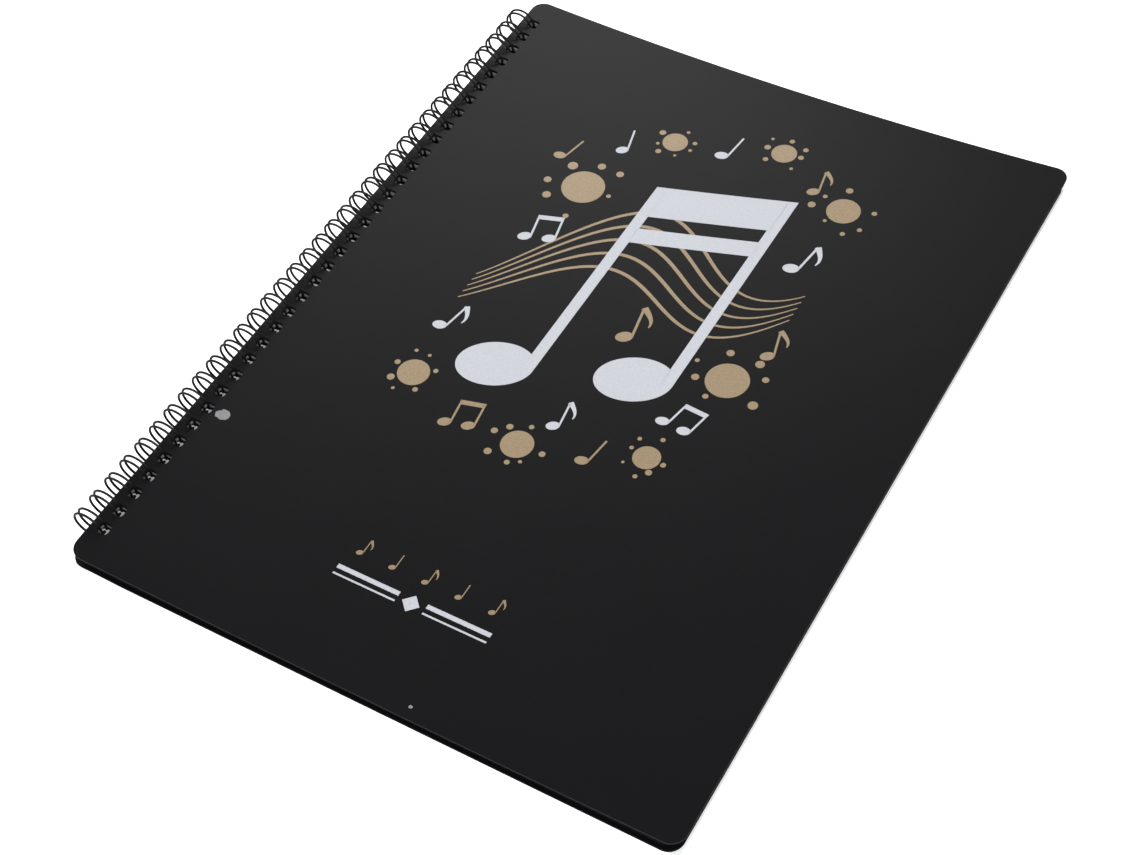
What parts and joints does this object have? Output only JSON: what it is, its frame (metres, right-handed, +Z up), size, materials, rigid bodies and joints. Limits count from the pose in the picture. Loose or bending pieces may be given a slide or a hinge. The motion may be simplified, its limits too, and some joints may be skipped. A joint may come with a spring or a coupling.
{
  "type": "wire-bound music folder",
  "caption": "Slim black music folder: stiff film covers over pocket leaves, held along one side by a twin-loop binding wire, lying closed.",
  "frame": {"origin": "centre of the folder's bounding box in plan, on the plane it lies on", "axes": "+Y up the page along the bound edge, +Z up out of the front cover, bound edge on the -X side"},
  "size_m": [0.2411, 0.3156, 0.0124],
  "materials": {
    "cover_film": "matte black polypropylene sheet with a fine sand grain",
    "leaf_film": "thin black film, smooth",
    "coated_wire": "black nylon-coated steel wire, satin"
  },
  "bodies": {
    "bound_block": {"binding_wire": "coated_wire", "pocket_leaves": "leaf_film"},
    "front_cover": {"front_cover": "cover_film"},
    "rear_cover": {"rear_cover": "cover_film"}
  },
  "joints": [
    {"name": "front_cover_hinge", "type": "hinge", "parent": "bound_block", "child": "front_cover", "pos_m": [-0.1144, 0, 0.0062], "axis": [0, -1, 0], "range_deg": [0, 180]},
    {"name": "rear_cover_hinge", "type": "hinge", "parent": "bound_block", "child": "rear_cover", "pos_m": [-0.1144, 0, 0.0062], "axis": [0, 1, 0], "range_deg": [0, 180]}
  ]
}
